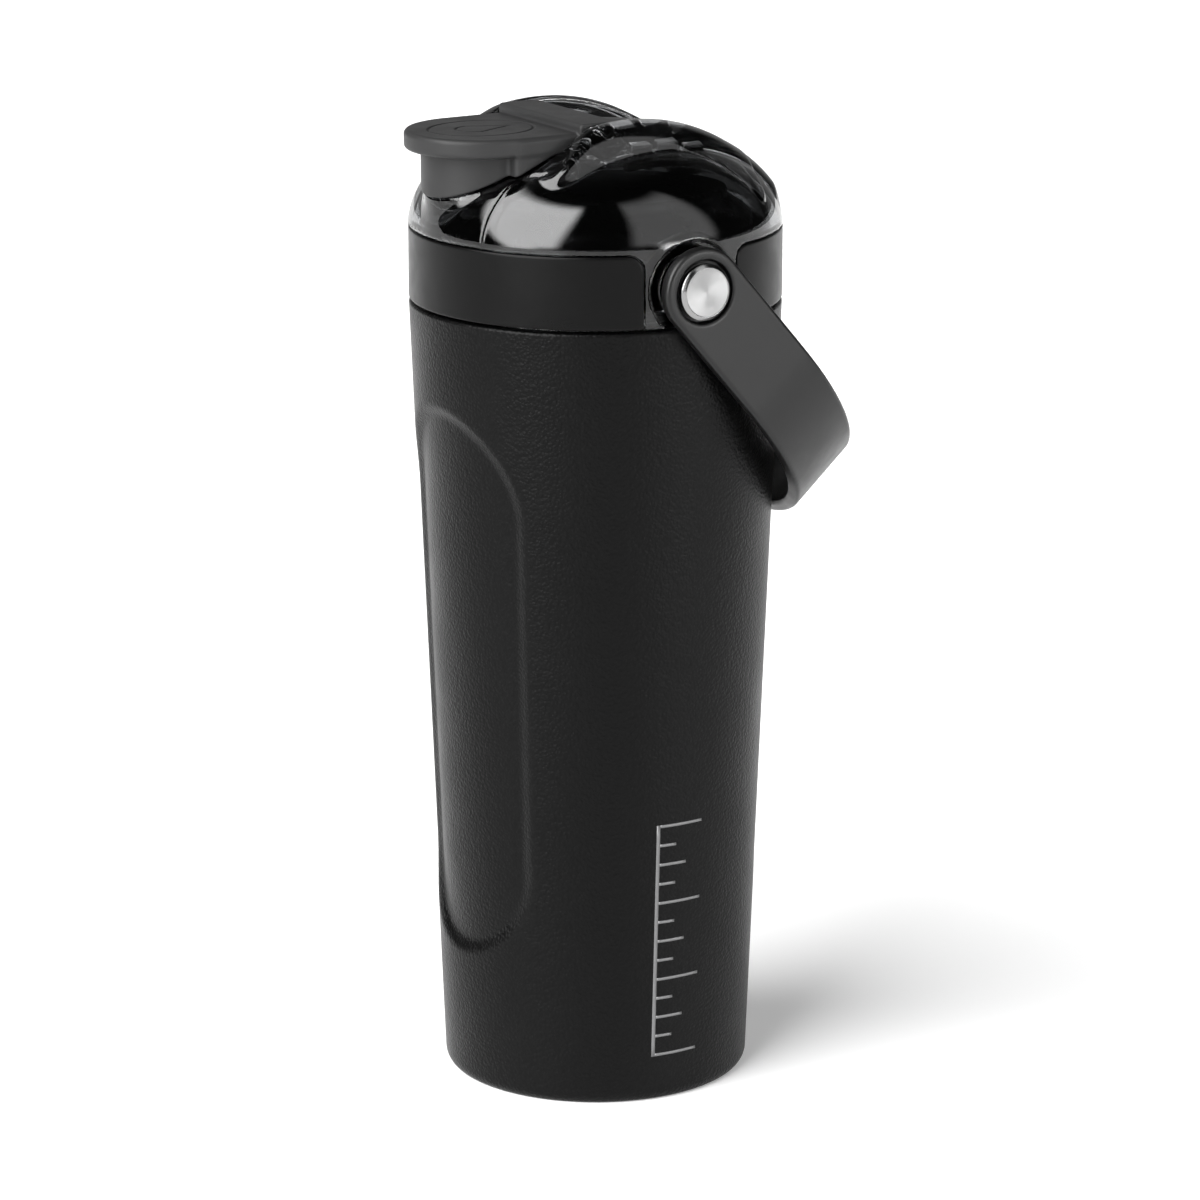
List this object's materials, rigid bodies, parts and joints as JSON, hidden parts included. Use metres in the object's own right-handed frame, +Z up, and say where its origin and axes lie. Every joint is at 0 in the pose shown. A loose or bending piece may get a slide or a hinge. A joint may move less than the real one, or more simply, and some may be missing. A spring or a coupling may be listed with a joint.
{
  "type": "protein shaker bottle",
  "caption": "Insulated steel shaker bottle: tapered body with thumb grips, smoked clear screw-on lid, flip cap over the spout, swinging carry strap.",
  "frame": {"origin": "centre of the flat base, on the surface that the bottle stands on", "axes": "+Z up along the bottle's axis; -Y to the front, where the spout and the cap's thumb lip are; +Y to the back, where the strap hangs; the strap's pivots are at +X and -X"},
  "size_m": [0.1, 0.1088, 0.2367],
  "materials": {
    "powder_coat": "fine textured matt black powder coat",
    "flask_steel": "plain stainless steel",
    "smoked_clear": "smoked clear copolyester, glossy",
    "black_plastic": "black moulded plastic",
    "silicone": "black silicone",
    "satin_plastic": "satin black moulded plastic",
    "strap_plastic": "smooth satin black, slightly soft",
    "matte_grey": "fine grained matt charcoal",
    "polished_steel": "polished steel",
    "button_steel": "face turned, rim polished",
    "brass": "plain brass"
  },
  "bodies": {
    "bottle": {"outer_shell": "powder_coat", "inner_flask": "flask_steel", "base_plate": "flask_steel", "vacuum_getter": "flask_steel"},
    "gasket": {"lid_gasket": "silicone"},
    "lid": {"lid_shell": "smoked_clear", "lid_core": "black_plastic", "lid_band_front": "satin_plastic", "lid_band_rear": "satin_plastic", "lid_saddle": "matte_grey", "spout": "smoked_clear", "cap_hinge_pin": "polished_steel", "agitator": "black_plastic", "pivot_screw_right": "button_steel", "pivot_screw_left": "button_steel", "pivot_bush_right": "polished_steel", "pivot_bush_left": "polished_steel", "pivot_insert_right": "brass", "pivot_insert_left": "brass"},
    "cap": {"flip_cap": "matte_grey", "cap_plug": "silicone"},
    "strap": {"carry_strap": "strap_plastic"}
  },
  "joints": [
    {"name": "lid_rise", "type": "slide", "parent": "bottle", "child": "gasket", "axis": [0, 0, 1], "range_m": [0, 0.0074]},
    {"name": "lid_turn", "type": "hinge", "parent": "gasket", "child": "lid", "pos_m": [0, 0, 0.192], "axis": [0, 0, 1], "range_deg": [0, 330]},
    {"name": "cap_flip", "type": "hinge", "parent": "lid", "child": "cap", "pos_m": [0, -0.01, 0.2335], "axis": [-1, 0, 0], "range_deg": [0, 140]},
    {"name": "strap_swing", "type": "hinge", "parent": "lid", "child": "strap", "pos_m": [0, 0, 0.2005], "axis": [1, 0, 0], "range_deg": [0, 275]}
  ],
  "couplings": [
    {"joint": "lid_rise", "follows": "lid_turn", "m_per_rad": 0.0012732}
  ]
}
